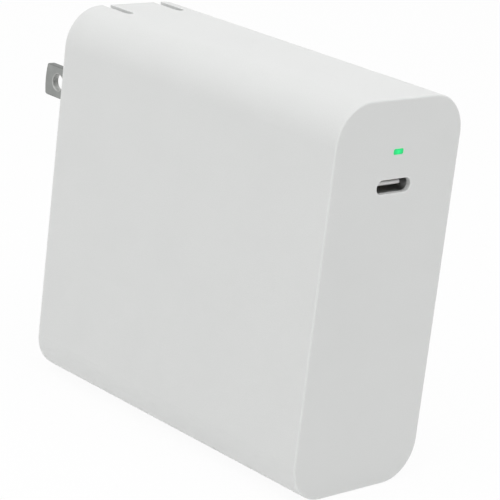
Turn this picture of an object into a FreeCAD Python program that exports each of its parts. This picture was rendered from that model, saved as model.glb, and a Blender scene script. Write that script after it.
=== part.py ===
import FreeCAD, Part
import math
import os
import Sketcher

# A wall-plug power adapter with folding blades and one USB-C outlet.
# It stands on its narrow lower side: X across the thickness, +Y towards the blades, +Z up.
# The origin is the middle of the lower face.

# Driving dimensions, in millimetres and degrees.
SIZES = {
    # outer form
    "body_width": "31.2",
    "body_length": "74.8",
    "body_height": "73.8",
    "corner_round": "7.6",
    "face_edge_round": "0.35",
    # moulded walls
    "side_wall": "1.8",
    "front_wall": "2.2",
    "rim_wall": "0.9",
    "cover_plate": "2.0",
    "cover_gap": "0.1",
    "skirt_wall": "1.2",
    "skirt_depth": "3.0",
    "rail_floor": "1.8",
    "rail_lip": "0.9",
    "rail_depth": "1.6",
    "rail_gap": "0.1",
    "rail_end_gap": "0.2",
    # folding blades
    "blade_spacing": "12.7",
    "blade_width": "6.35",
    "blade_thickness": "1.5",
    "blade_reach": "15.9",
    "blade_drop": "18.3",
    "blade_tip_crown": "0.35",
    "blade_tip_bevel": "0.65",
    "blade_edge_bevel": "0.2",
    "blade_hole_radius": "1.6",
    "blade_hole_reach": "11.9",
    "blade_root": "0.5",
    "tail_reach": "1.3",
    "tail_width": "1.8",
    "tail_bevel": "0.5",
    # turning carrier of the blades
    "pivot_offset": "0.8",
    "barrel_radius": "3.0",
    "barrel_face_gap": "0.1",
    "barrel_gap": "0.15",
    "barrel_end_wall": "0.9",
    "barrel_flat_depth": "0.4",
    "barrel_flat_width": "4.0",
    "journal_radius": "1.6",
    "journal_gap": "0.05",
    "saddle_width": "2.0",
    "saddle_wall": "1.3",
    "stop_depth": "1.0",
    "stop_gap": "0.02",
    # channels that take the folded blades
    "channel_side_gap": "0.2",
    "channel_floor_gap": "0.55",
    "channel_wall": "1.0",
    "trough_gap": "0.15",
    # retainer behind the carrier, its screws and its leaf springs
    "retainer_plate": "1.5",
    "retainer_side_gap": "0.5",
    "retainer_drop": "8.75",
    "retainer_rib": "1.0",
    "boss_side_gap": "0.85",
    "boss_drop": "6.5",
    "boss_floor": "0.8",
    "screw_radius": "0.8",
    "screw_gap": "0.05",
    "screw_length": "4.5",
    "screw_head_radius": "1.5",
    "screw_head_height": "1.1",
    "spring_space": "0.6",
    "spring_thickness": "0.3",
    "spring_width": "2.4",
    "spring_leg": "3.6",
    "spring_low_bend": "3.4",
    "spring_high_bend": "2.4",
    "spring_nose": "1.4",
    "contact_gap": "0.05",
    # outlet
    "port_drop": "15.9",
    "port_inside_width": "8.34",
    "port_inside_height": "2.56",
    "port_wall": "0.3",
    "port_recess": "1.05",
    "port_mouth_gap": "0.03",
    "port_mouth_bevel": "0.1",
    "port_gap": "0.08",
    "port_base": "1.6",
    "port_collar_wall": "1.0",
    "port_collar_depth": "1.4",
    "receptacle_length": "7.2",
    "tongue_width": "6.69",
    "tongue_thickness": "0.7",
    "tongue_recess": "0.85",
    "contacts_in_row": "12",
    "contact_pitch": "0.5",
    "contact_width": "0.26",
    "contact_proud": "0.05",
    "contact_length": "4.2",
    # status light
    "light_rise": "6.3",
    "light_width": "2.35",
    "light_tall": "1.0",
    "light_round": "0.3",
    "light_gap": "0.03",
    "light_flange": "0.7",
    "light_flange_margin": "0.8",
    "light_chip_width": "1.6",
    "light_chip_tall": "0.8",
    "light_chip_depth": "0.7",
    # boards and the layers beside them
    "spreader_thickness": "0.6",
    "spreader_inset": "0.8",
    "sheet_thickness": "0.4",
    "back_pad_thickness": "0.6",
    "top_pad_thickness": "1.6",
    "chip_height": "0.9",
    "board_thickness": "1.6",
    "board_end_gap": "0.6",
    "board_notch_gap": "1.5",
    "board_notch_drop": "3.0",
    "port_board_thickness": "1.2",
    "port_board_drop": "9.0",
    "port_board_gap": "0.3",
    "port_board_margin": "0.5",
    "link_side": "2.5",
    "link_length": "14.0",
    # wound parts, each on its own patch of the main board
    "part_gap": "1.0",
    "transformer_width": "26.0",
    "transformer_depth": "20.0",
    "transformer_yoke": "3.4",
    "transformer_leg": "3.2",
    "transformer_core": "9.6",
    "transformer_post": "4.0",
    "transformer_lift": "7.0",
    "inductor_width": "18.0",
    "inductor_depth": "16.0",
    "inductor_tall": "17.0",
    "inductor_yoke": "3.0",
    "inductor_leg": "2.4",
    "inductor_core": "8.0",
    "inductor_post": "2.4",
    "bobbin_wall": "0.9",
    "bobbin_gap": "0.2",
    "winding_inset": "0.3",
    "winding_round": "2.6",
    "ring_outer": "6.4",
    "ring_inner": "3.6",
    "ring_tall": "7.0",
    "ring_wire": "1.2",
    "ring_wire_gap": "0.1",
    "ring_seat": "1.0",
    "ring_angle": "120",
    # capacitors
    "strip_width": "7.0",
    "bulk_gap": "0.6",
    "bulk_headroom": "1.85",
    "bulk_end_gap": "2.2",
    "can_radius": "4.0",
    "can_length": "12.0",
    "can_gap": "0.5",
    "can_groove": "0.5",
    "can_rim": "1.7",
    "supply_can_radius": "3.15",
    "supply_can_length": "11.0",
    "filter_end_gap": "5.25",
    "filter_depth": "8.5",
    "filter_tall": "15.0",
    "safety_length": "7.2",
    "safety_tall": "6.0",
    # protection, switching and control
    "surge_radius": "4.2",
    "surge_thickness": "3.6",
    "limiter_radius": "3.8",
    "limiter_thickness": "3.2",
    "fuse_width": "3.2",
    "fuse_length": "8.5",
    "fuse_tall": "8.0",
    "rectifier_side": "7.0",
    "rectifier_tall": "3.5",
    "coupler_length": "4.6",
    "coupler_tall": "2.2",
    "power_chip_side": "8.0",
    "small_chip_side": "5.0",
    # wires
    "wire_radius": "0.65",
    "wire_bend_share": "0.6",
    "wire_drop": "1.5",
    "wire_pitch": "2.2",
    "wire_inset": "1.2",
    # the least difference between two levels
    "match_tolerance": "0.01",
}

doc = FreeCAD.newDocument("PowerAdapter")
sheet = doc.addObject("Spreadsheet::Sheet", "Size")
for row, (alias, value) in enumerate(SIZES.items(), start=1):
    sheet.set(f"A{row}", alias)
    sheet.set(f"B{row}", value)
    sheet.setAlias(f"B{row}", alias)
doc.recompute()

# Places worked out from the driving dimensions, each named once and used by every piece that meets there.
PLACES = {
    "front": "-Size.body_length / 2",
    "rear": "Size.body_length / 2",
    "side": "Size.body_width / 2",
    "inner_side": "At.side - Size.side_wall",
    "inner_front": "At.front + Size.front_wall",
    "ceiling": "Size.body_height - Size.side_wall",
    "ledge": "At.rear - Size.cover_plate",
    "plate_inset": "Size.rim_wall + Size.cover_gap",
    "skirt_inset": "Size.side_wall + Size.cover_gap",
    "skirt_inner": "At.skirt_inset + Size.skirt_wall",
    "skirt_front": "At.ledge - Size.skirt_depth",
    # folding blades: the pivot lies just inside the rear face and just below the blades' centre line
    "pivot_y": "At.rear - Size.barrel_radius - Size.barrel_face_gap",
    "blade_z": "Size.body_height - Size.blade_drop",
    "pivot_z": "At.blade_z - Size.pivot_offset",
    "blade_x": "Size.blade_spacing / 2",
    "blade_half": "Size.blade_thickness / 2",
    "blade_low": "At.blade_z - Size.blade_width / 2",
    "blade_high": "At.blade_z + Size.blade_width / 2",
    "blade_tip": "At.rear + Size.blade_reach",
    "tail_radius": "Size.barrel_radius + Size.tail_reach",
    "barrel_front": "At.pivot_y - Size.barrel_radius",
    "barrel_low": "At.pivot_z - Size.barrel_radius",
    "barrel_high": "At.pivot_z + Size.barrel_radius",
    "barrel_end": "At.blade_x + At.blade_half + Size.barrel_end_wall",
    "saddle_start": "At.barrel_end + Size.barrel_gap",
    "saddle_end": "At.saddle_start + Size.saddle_width",
    "saddle_bore": "Size.journal_radius + Size.journal_gap",
    "saddle_low": "At.pivot_z - At.saddle_bore - Size.saddle_wall",
    "saddle_high": "At.pivot_z + At.saddle_bore + Size.saddle_wall",
    "window_low": "At.barrel_low - Size.barrel_gap",
    "window_high": "At.barrel_high + Size.barrel_gap",
    "channel_half": "At.blade_half + Size.channel_side_gap",
    "channel_floor": "At.pivot_y - At.blade_high + At.pivot_z - Size.channel_floor_gap",
    "trough_half": "At.channel_half + Size.channel_wall",
    "trough_front": "At.channel_floor - Size.channel_wall",
    "trough_low": "At.window_high + Size.trough_gap",
    "trough_past_corner": "max(0; At.blade_x + At.trough_half - At.side + Size.corner_round)",
    "trough_high": "Size.body_height - Size.corner_round"
                   " + sqrt((Size.corner_round - At.skirt_inset) ^ 2 - At.trough_past_corner ^ 2)",
    # retainer and springs
    "retainer_reach": "At.side - At.skirt_inner - Size.retainer_side_gap",
    "plate_rear": "At.pivot_y - At.tail_radius - Size.spring_space",
    "plate_front": "At.plate_rear - Size.retainer_plate",
    "plate_low": "At.pivot_z - Size.retainer_drop",
    "boss_radius": "(At.retainer_reach - At.blade_x - Size.spring_width / 2 - Size.boss_side_gap) / 2",
    "boss_x": "At.retainer_reach - At.boss_radius",
    "boss_z": "At.pivot_z - Size.boss_drop",
    "screw_bore": "Size.screw_radius + Size.screw_gap",
    "contact_nose": "At.pivot_y - At.tail_radius - Size.contact_gap",
    "detent_nose": "At.barrel_front - Size.contact_gap",
    "spring_low": "At.plate_low - Size.spring_thickness",
    "wire_y": "At.plate_front - Size.spring_leg + Size.wire_inset",
    # outlet and status light
    "port_z": "Size.body_height - Size.port_drop",
    "port_mouth": "At.front + Size.port_recess",
    "port_board_front": "At.port_mouth + Size.receptacle_length",
    "port_board_rear": "At.port_board_front + Size.port_board_thickness",
    "port_chip_rear": "At.port_board_rear + Size.chip_height",
    "port_base_front": "At.port_board_front - Size.port_base",
    "tongue_front": "At.port_mouth + Size.tongue_recess",
    "tongue_half": "Size.tongue_thickness / 2",
    "contact_face": "At.tongue_half + Size.contact_proud",
    "port_half_width": "Size.port_inside_width / 2 + Size.port_wall",
    "port_half_height": "Size.port_inside_height / 2 + Size.port_wall",
    "light_z": "At.port_z + Size.light_rise",
    "flange_rear": "At.inner_front + Size.light_flange",
    "light_front": "At.port_board_front - Size.light_chip_depth",
    # layers from the left wall to the main board, and from the tallest part to the right wall
    "left_spreader": "-At.inner_side + Size.spreader_thickness",
    "left_sheet": "At.left_spreader + Size.sheet_thickness",
    "left_pad": "At.left_sheet + Size.back_pad_thickness",
    "board_back": "At.left_pad + Size.chip_height",
    "board_face": "At.board_back + Size.board_thickness",
    "right_spreader": "At.inner_side - Size.spreader_thickness",
    "right_sheet": "At.right_spreader - Size.sheet_thickness",
    "parts_top": "At.right_sheet - Size.top_pad_thickness",
    "layer_low": "Size.corner_round + Size.spreader_inset",
    "layer_high": "Size.body_height - At.layer_low",
    # main board and its patches, each one gap away from its neighbour
    "board_low": "Size.side_wall + Size.rail_floor",
    "board_high": "Size.body_height - At.board_low",
    "board_front": "At.inner_front + Size.board_end_gap",
    "board_rear": "At.skirt_front - Size.board_end_gap",
    "board_notch": "At.plate_front - Size.screw_head_height - Size.board_notch_gap",
    "board_notch_low": "At.plate_low - Size.board_notch_drop",
    "line_wire_z": "At.board_notch_low - Size.wire_drop",
    "neutral_wire_z": "At.line_wire_z - Size.wire_pitch",
    "wire_bend": "(-At.blade_x - At.board_face) * Size.wire_bend_share",
    "port_board_low": "At.port_z - Size.port_board_drop",
    "port_board_high": "At.board_high - Size.rail_depth - Size.port_board_gap",
    "transformer_y": "At.board_front + Size.part_gap + Size.transformer_width / 2",
    "transformer_z": "At.board_low + Size.transformer_lift + Size.transformer_depth / 2",
    "can_z": "At.transformer_z + Size.transformer_depth / 2 + Size.part_gap + Size.can_radius",
    "can_y": "At.board_front + Size.part_gap + Size.can_radius",
    "can_pitch": "2 * Size.can_radius + Size.can_gap",
    "strip_near": "At.transformer_y + Size.transformer_width / 2 + Size.part_gap",
    "strip_far": "At.strip_near + Size.strip_width",
    "strip_y": "At.strip_near + Size.strip_width / 2",
    "safety_low": "At.board_low + Size.rail_depth + Size.part_gap",
    "coupler_low": "At.safety_low + Size.safety_length + Size.part_gap",
    "rectifier_low": "At.coupler_low + Size.coupler_length + Size.part_gap",
    "supply_z": "At.rectifier_low + Size.rectifier_side + Size.part_gap + Size.supply_can_radius",
    "bulk_near": "At.strip_far + Size.part_gap",
    "bulk_length": "At.board_rear - At.bulk_near - Size.bulk_end_gap",
    "bulk_top": "At.neutral_wire_z - Size.wire_radius - Size.bulk_headroom",
    "bulk_radius": "(At.bulk_top - At.board_low - 2 * Size.bulk_gap) / 4",
    "bulk_low": "At.board_low + Size.bulk_gap + At.bulk_radius",
    "bulk_high": "At.bulk_low + 2 * At.bulk_radius + Size.bulk_gap",
    "filter_low": "At.bulk_top + Size.part_gap",
    "filter_high": "At.filter_low + Size.filter_depth",
    "filter_far": "At.wire_y - Size.wire_radius - Size.filter_end_gap",
    "ring_reach": "Size.ring_outer + Size.ring_wire",
    "ring_y": "At.bulk_near + At.ring_reach",
    "ring_z": "At.filter_high + Size.part_gap + At.ring_reach",
    "fuse_low": "At.ring_z + At.ring_reach + Size.part_gap",
    "inductor_y": "At.port_chip_rear + Size.link_side + Size.part_gap + Size.inductor_width / 2",
    "inductor_z": "At.port_board_low + Size.inductor_depth / 2",
    "disc_near": "At.inductor_y + Size.inductor_width / 2 + Size.part_gap",
    "surge_z": "At.port_board_low + Size.surge_radius",
    "limiter_z": "At.surge_z + Size.surge_radius + Size.part_gap + Size.limiter_radius",
}

places = doc.addObject("App::VarSet", "At")
for name, formula in PLACES.items():
    places.addProperty("App::PropertyFloat", name)
    places.setExpression(name, formula)
    places.recompute()
doc.recompute()


def number(formula):
    """The present value of a formula, for the first position of drawn lines."""
    return float(places.evalExpression(formula))


# Sketch drawing. Every vertex, centre and radius is held by a constraint bound to a formula.

def start_of(line):
    return line, 1


def end_of(line):
    return line, 2


def centre_of(arc):
    return arc, 3


def hold(sketch, kind, *where, formula):
    """Adds one dimension to a sketch and binds it to a formula."""
    index = sketch.addConstraint(Sketcher.Constraint(kind, *where, number(formula)))
    sketch.setExpression(f"Constraints[{index}]", formula)


def hold_point(sketch, point, across, up):
    """Holds a point at its distances from the sketch's origin, which is the start of line -1."""
    origin = start_of(-1)
    hold(sketch, "DistanceX", *origin, *point, formula=across)
    hold(sketch, "DistanceY", *origin, *point, formula=up)


def join(sketch, kind, one, other):
    sketch.addConstraint(Sketcher.Constraint(kind, *one, *other))


def vector(across, up):
    return FreeCAD.Vector(number(across), number(up), 0)


def polygon(*points):
    """A closed outline through the points, each given as two formulas."""
    def draw(sketch):
        corners = [vector(*point) for point in points]
        lines = [
            sketch.addGeometry(Part.LineSegment(corner, corners[(k + 1) % len(corners)]), False)
            for k, corner in enumerate(corners)
        ]
        for k, line in enumerate(lines):
            join(sketch, "Coincident", end_of(line), start_of(lines[(k + 1) % len(lines)]))
        for line, point in zip(lines, points):
            hold_point(sketch, start_of(line), *point)
    return draw


def box(left, right, low, high):
    return polygon((left, low), (right, low), (right, high), (left, high))


def circle(across, up, radius):
    def draw(sketch):
        drawn = Part.Circle(vector(across, up), FreeCAD.Vector(0, 0, 1), number(radius))
        ring = sketch.addGeometry(drawn, False)
        hold_point(sketch, centre_of(ring), across, up)
        hold(sketch, "Radius", ring, formula=radius)
    return draw


def rounded(left, right, low, high, radius):
    """A rectangle with four equal round corners."""
    def draw(sketch):
        reach = number(radius)
        arcs = []
        centres = [
            (f"({right}) - ({radius})", f"({high}) - ({radius})"),
            (f"({left}) + ({radius})", f"({high}) - ({radius})"),
            (f"({left}) + ({radius})", f"({low}) + ({radius})"),
            (f"({right}) - ({radius})", f"({low}) + ({radius})"),
        ]
        for quarter, centre in enumerate(centres):
            ring = Part.Circle(vector(*centre), FreeCAD.Vector(0, 0, 1), reach)
            start = quarter * math.pi / 2
            arcs.append(sketch.addGeometry(Part.ArcOfCircle(ring, start, start + math.pi / 2), False))
        for k, arc in enumerate(arcs):
            following = arcs[(k + 1) % 4]
            line = sketch.addGeometry(
                Part.LineSegment(sketch.getPoint(*end_of(arc)), sketch.getPoint(*start_of(following))), False
            )
            join(sketch, "Tangent", end_of(arc), start_of(line))
            join(sketch, "Tangent", end_of(line), start_of(following))
        for arc, centre in zip(arcs, centres):
            hold_point(sketch, centre_of(arc), *centre)
            hold(sketch, "Radius", arc, formula=radius)
    return draw


def oval(left, right, low, high):
    """A flat slot outline whose ends are half circles."""
    def draw(sketch):
        radius = f"(({high}) - ({low})) / 2"
        middle = f"(({high}) + ({low})) / 2"
        reach = number(radius)
        centres = [(f"({left}) + {radius}", middle), (f"({right}) - {radius}", middle)]
        arcs = []
        for centre, start in zip(centres, (math.pi / 2, -math.pi / 2)):
            ring = Part.Circle(vector(*centre), FreeCAD.Vector(0, 0, 1), reach)
            arcs.append(sketch.addGeometry(Part.ArcOfCircle(ring, start, start + math.pi), False))
        for arc, following in ((arcs[0], arcs[1]), (arcs[1], arcs[0])):
            line = sketch.addGeometry(
                Part.LineSegment(sketch.getPoint(*end_of(arc)), sketch.getPoint(*start_of(following))), False
            )
            join(sketch, "Tangent", end_of(arc), start_of(line))
            join(sketch, "Tangent", end_of(line), start_of(following))
        for arc, centre in zip(arcs, centres):
            hold_point(sketch, centre_of(arc), *centre)
            hold(sketch, "Radius", arc, formula=radius)
    return draw


def crowned(left, tip, low, high, crown):
    """A rectangle whose far side swells out to its tip in a flat arc."""
    def draw(sketch):
        shoulder = f"{tip} - ({crown})"
        half = f"((({high}) - ({low})) / 2)"
        radius = f"({half} ^ 2 + ({crown}) ^ 2) / (2 * ({crown}))"
        middle = vector(f"{tip} - {radius}", f"({low}) + {half}")
        ring = Part.Circle(middle, FreeCAD.Vector(0, 0, 1), number(radius))
        swing = math.asin(number(half) / number(radius))
        arc = sketch.addGeometry(Part.ArcOfCircle(ring, -swing, swing), False)
        corners = [(shoulder, high), (left, high), (left, low), (shoulder, low)]
        lines = [
            sketch.addGeometry(Part.LineSegment(vector(*one), vector(*other)), False)
            for one, other in zip(corners, corners[1:])
        ]
        chain = [arc, *lines, arc]
        for one, other in zip(chain, chain[1:]):
            join(sketch, "Coincident", end_of(one), start_of(other))
        for line, corner in zip(lines, corners):
            hold_point(sketch, start_of(line), *corner)
        hold_point(sketch, start_of(arc), shoulder, low)
        hold(sketch, "Radius", arc, formula=radius)
    return draw


# Bodies and their features. A feature runs between two levels, low and high, across its plane:
# plane XY has levels along Z, plane XZ along Y and plane YZ along X.

FACING = {"XY": "+", "XZ": "-", "YZ": "+"}
ASSEMBLY = []


def body(label):
    made = doc.addObject("PartDesign::Body", label)
    made.Label = label
    ASSEMBLY.append(made)
    return made


def sketch_on(owner, name, plane, level, drawn):
    """A sketch on one of the body's own planes, moved along that plane's axis to a level."""
    origin_plane = [item for item in owner.Origin.OriginFeatures if item.Role == f"{plane}_Plane"][0]
    sketch = owner.newObject("Sketcher::SketchObject", f"{name}_sketch")
    sketch.AttachmentSupport = [(origin_plane, "")]
    sketch.MapMode = "FlatFace"
    sketch.setExpression("AttachmentOffset.Base.z", f"{FACING[plane]}({level})")
    for draw in drawn:
        draw(sketch)
    return sketch


def add(owner, name, plane, low, high, *drawn):
    """Adds material between two levels."""
    pad = owner.newObject("PartDesign::Pad", name)
    pad.Profile = sketch_on(owner, name, plane, low, drawn)
    pad.setExpression("Length", f"({high}) - ({low})")
    pad.Reversed = FACING[plane] == "-"
    owner.Tip = pad
    return pad


def cut(owner, name, plane, low, high, *drawn):
    """Takes material away between two levels."""
    pocket = owner.newObject("PartDesign::Pocket", name)
    pocket.Profile = sketch_on(owner, name, plane, low, drawn)
    pocket.setExpression("Length", f"({high}) - ({low})")
    pocket.Reversed = FACING[plane] == "+"
    owner.Tip = pocket
    return pocket


def turn(owner, name, plane, level, axis, *drawn):
    """Revolves an outline about a sketch axis, H_Axis or V_Axis."""
    turned = owner.newObject("PartDesign::Revolution", name)
    turned.Profile = sketch_on(owner, name, plane, level, drawn)
    turned.ReferenceAxis = (turned.Profile[0], [axis])
    turned.Angle = 360
    owner.Tip = turned
    return turned


def same(one, other):
    """Whether two levels are the same one."""
    return math.isclose(one, other, abs_tol=number("Size.match_tolerance"))


def edges_where(feature, wanted):
    """Names of the edges whose bounding box passes the test."""
    doc.recompute()
    return [f"Edge{k}" for k, edge in enumerate(feature.Shape.Edges, start=1) if wanted(edge.BoundBox)]


def round_off(owner, name, radius, wanted):
    base = owner.Tip
    names = edges_where(base, wanted)
    fillet = owner.newObject("PartDesign::Fillet", name)
    fillet.Base = (base, names)
    fillet.setExpression("Radius", radius)
    owner.Tip = fillet
    return fillet


def bevel(owner, name, size, wanted):
    base = owner.Tip
    names = edges_where(base, wanted)
    chamfer = owner.newObject("PartDesign::Chamfer", name)
    chamfer.Base = (base, names)
    chamfer.setExpression("Size", size)
    owner.Tip = chamfer
    return chamfer


def put(owner, across="0", along="0", up="0", axis=None, angle=0):
    """Places a piece that is drawn about its own origin."""
    if axis:
        owner.Placement.Rotation = FreeCAD.Rotation(FreeCAD.Vector(*axis), angle)
    owner.setExpression("Placement.Base.x", across)
    owner.setExpression("Placement.Base.y", along)
    owner.setExpression("Placement.Base.z", up)
    return owner


def block(label, left, right, near, far, low, high):
    """A plain rectangular piece between six levels."""
    made = doc.addObject("Part::Box", label)
    made.Label = label
    made.setExpression("Length", f"({right}) - ({left})")
    made.setExpression("Width", f"({far}) - ({near})")
    made.setExpression("Height", f"({high}) - ({low})")
    ASSEMBLY.append(made)
    return put(made, left, near, low)


# Housing: one moulded sleeve, closed at the outlet end and open at the blade end.

def body_outline(inset):
    """The outline of the whole adapter seen along Y, drawn in by an inset."""
    return rounded(f"-At.side + {inset}", f"At.side - {inset}", inset, f"Size.body_height - {inset}",
                   f"Size.corner_round - {inset}")


def wall_middle(across):
    """Height of the middle of the lower wall at a place across, within its round corner."""
    centre = "(At.side - Size.corner_round)"
    reach = "(Size.corner_round - Size.side_wall / 2)"
    return f"Size.corner_round - sqrt({reach} ^ 2 - (abs({across}) - {centre}) ^ 2)"


def board_rail():
    """Section of the lower rail: a floor with a lip on each side of the main board."""
    slot_left = "At.board_back - Size.rail_gap"
    slot_right = "At.board_face + Size.rail_gap"
    rail_left = f"{slot_left} - Size.rail_lip"
    rail_right = f"{slot_right} + Size.rail_lip"
    lip = "At.board_low + Size.rail_depth"
    return [
        (rail_left, wall_middle(rail_left)),
        (rail_right, wall_middle(rail_right)),
        (rail_right, lip),
        (slot_right, lip),
        (slot_right, "At.board_low"),
        (slot_left, "At.board_low"),
        (slot_left, lip),
        (rail_left, lip),
    ]


def port_oval(margin):
    """The outlet's outline, with a margin outside its metal sleeve."""
    return oval(f"-At.port_half_width - ({margin})", f"At.port_half_width + ({margin})",
                f"At.port_z - At.port_half_height - ({margin})",
                f"At.port_z + At.port_half_height + ({margin})")


def light_outline(margin):
    half_width = f"(Size.light_width / 2 + {margin})"
    half_height = f"(Size.light_tall / 2 + {margin})"
    return rounded(f"-{half_width}", half_width,
                   f"At.light_z - {half_height}", f"At.light_z + {half_height}", "Size.light_round")


SIDES = (("left", "-1"), ("right", "1"))


def housing_shell():
    shell = body("housing_shell")
    add(shell, "outer_form", "XZ", "At.front", "At.rear", body_outline("0"))
    front = number("At.front")
    round_off(shell, "face_edge", "Size.face_edge_round",
              lambda bounds: same(bounds.YMin, front) and same(bounds.YMax, front))
    cut(shell, "cavity", "XZ", "At.inner_front", "At.rear", body_outline("Size.side_wall"))
    cut(shell, "cover_seat", "XZ", "At.ledge", "At.rear", body_outline("Size.rim_wall"))

    # Two rails hold the main board by its lower and upper edges. The upper one ends with the board's upper
    # edge, in front of the troughs.
    rail = board_rail()
    raised = [(across, f"Size.body_height - ({up})") for across, up in rail]
    add(shell, "lower_rail", "XZ", "At.inner_front", "At.skirt_front - Size.rail_end_gap", polygon(*rail))
    add(shell, "upper_rail", "XZ", "At.inner_front", "At.board_notch", polygon(*raised))

    # The outlet and the status light come through the closed end. A collar steadies the outlet's sleeve,
    # and the plug goes in through a bevelled mouth as wide as the inside of the sleeve.
    collar_rear = "At.inner_front + Size.port_collar_depth"
    collar_margin = "(Size.port_gap + Size.port_collar_wall)"
    add(shell, "outlet_collar", "XZ", "At.inner_front", collar_rear,
        box(f"-At.port_half_width - {collar_margin}", f"At.port_half_width + {collar_margin}",
            f"At.port_z - At.port_half_height - {collar_margin}",
            f"At.port_z + At.port_half_height + {collar_margin}"))
    cut(shell, "outlet_seat", "XZ", "At.port_mouth", collar_rear, port_oval("Size.port_gap"))
    cut(shell, "outlet_mouth", "XZ", "At.front", "At.port_mouth",
        port_oval("-Size.port_wall + Size.port_mouth_gap"))
    reach = number("At.port_half_width")
    bevel(shell, "mouth_bevel", "Size.port_mouth_bevel",
          lambda bounds: same(bounds.YMin, front) and same(bounds.YMax, front)
          and max(abs(bounds.XMin), abs(bounds.XMax)) < reach)
    cut(shell, "light_opening", "XZ", "At.front", "At.inner_front", light_outline("Size.light_gap"))

    # Each folded blade can be reached through a slot in the upper wall, round at its closed end.
    slot_end = "At.channel_floor + At.channel_half"
    for label, sign in SIDES:
        centre = f"{sign} * At.blade_x"
        cut(shell, f"{label}_slot", "XY", "At.ceiling - Size.cover_gap", "Size.body_height",
            box(f"{centre} - At.channel_half", f"{centre} + At.channel_half", slot_end, "At.rear"))
        cut(shell, f"{label}_slot_end", "XY", "At.ceiling - Size.cover_gap", "Size.body_height",
            circle(centre, slot_end, "At.channel_half"))
    return shell


# Rear cover: an inset plate with a locating skirt, a window for the turning carrier
# and a trough for each folded blade. It is welded to the housing all round.

def rear_cover():
    cover = body("rear_cover")
    add(cover, "plate", "XZ", "At.ledge", "At.rear", body_outline("At.plate_inset"))
    add(cover, "skirt", "XZ", "At.skirt_front", "At.ledge",
        body_outline("At.skirt_inset"), body_outline("At.skirt_inner"))
    for label, sign in SIDES:
        centre = f"{sign} * At.blade_x"
        add(cover, f"{label}_trough", "XZ", "At.trough_front", "At.ledge",
            box(f"{centre} - At.trough_half", f"{centre} + At.trough_half",
                "At.trough_low", "At.trough_high"))
        add(cover, f"{label}_saddle", "XZ", "At.pivot_y", "At.ledge", saddle(sign))
        add(cover, f"{label}_boss", "XZ", "At.plate_rear", "At.ledge",
            circle(f"{sign} * At.boss_x", "At.boss_z", "At.boss_radius"))

    cut(cover, "carrier_window", "XZ", "At.ledge", "At.rear",
        box("-At.saddle_start", "At.saddle_start", "At.window_low", "At.window_high"))
    cut(cover, "journal_bores", "YZ", "-At.saddle_end", "At.saddle_end",
        circle("At.pivot_y", "At.pivot_z", "At.saddle_bore"))
    for label, sign in SIDES:
        centre = f"{sign} * At.blade_x"
        cut(cover, f"{label}_channel", "XZ", "At.channel_floor", "At.rear",
            box(f"{centre} - At.channel_half", f"{centre} + At.channel_half",
                "At.pivot_z", "Size.body_height"))
        cut(cover, f"{label}_screw_hole", "XZ", "At.plate_rear", "At.ledge - Size.boss_floor",
            circle(f"{sign} * At.boss_x", "At.boss_z", "At.screw_bore"))
        # The extended blade rests on a sill of the window.
        add(cover, f"{label}_stop", "XZ", "At.rear - Size.stop_depth", "At.rear",
            box(f"{centre} - At.channel_half", f"{centre} + At.channel_half",
                "At.window_low - Size.stop_depth", "At.blade_low - Size.stop_gap"))
    return cover


def saddle(sign):
    """Outline of one bearing block, seen along Y."""
    ends = [f"{sign} * At.saddle_start", f"{sign} * At.saddle_end"]
    left, right = sorted(ends, key=number)
    return box(left, right, "At.saddle_low", "At.saddle_high")


# Retainer: a bracket that closes the two bearings and carries the leaf springs.

def plug_retainer():
    part = body("plug_retainer")
    add(part, "back_plate", "XZ", "At.plate_front", "At.plate_rear",
        box("-At.retainer_reach", "At.retainer_reach", "At.plate_low", "At.saddle_high"))
    for label, sign in SIDES:
        add(part, f"{label}_saddle", "XZ", "At.plate_rear", "At.pivot_y", saddle(sign))
    cut(part, "journal_bores", "YZ", "-At.saddle_end", "At.saddle_end",
        circle("At.pivot_y", "At.pivot_z", "At.saddle_bore"))
    for label, sign in SIDES:
        cut(part, f"{label}_screw_hole", "XZ", "At.plate_front", "At.plate_rear",
            circle(f"{sign} * At.boss_x", "At.boss_z", "At.screw_bore"))
    add(part, "stiffening_rib", "XZ", "At.plate_front - Size.retainer_rib", "At.plate_front",
        box("-At.retainer_reach", "At.retainer_reach",
            "At.saddle_high - Size.retainer_rib", "At.saddle_high"))
    return part


def retainer_screws():
    """Two pan-head screws, in one node."""
    screws = []
    for label, sign in SIDES:
        head = doc.addObject("Part::Cylinder", f"{label}_screw_head")
        head.setExpression("Radius", "Size.screw_head_radius")
        head.setExpression("Height", "Size.screw_head_height")
        put(head, f"{sign} * At.boss_x", "At.plate_front", "At.boss_z", (1, 0, 0), 90)
        shank = doc.addObject("Part::Cylinder", f"{label}_screw_shank")
        shank.setExpression("Radius", "Size.screw_radius")
        shank.setExpression("Height", "Size.screw_length")
        put(shank, f"{sign} * At.boss_x", "At.plate_front", "At.boss_z", (1, 0, 0), -90)
        screw = doc.addObject("Part::Fuse", f"{label}_screw")
        screw.Base = head
        screw.Tool = shank
        screws.append(screw)
    group = doc.addObject("Part::Compound", "retainer_screws")
    group.Links = screws
    group.Label = "retainer_screws"
    ASSEMBLY.append(group)
    return group


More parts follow.
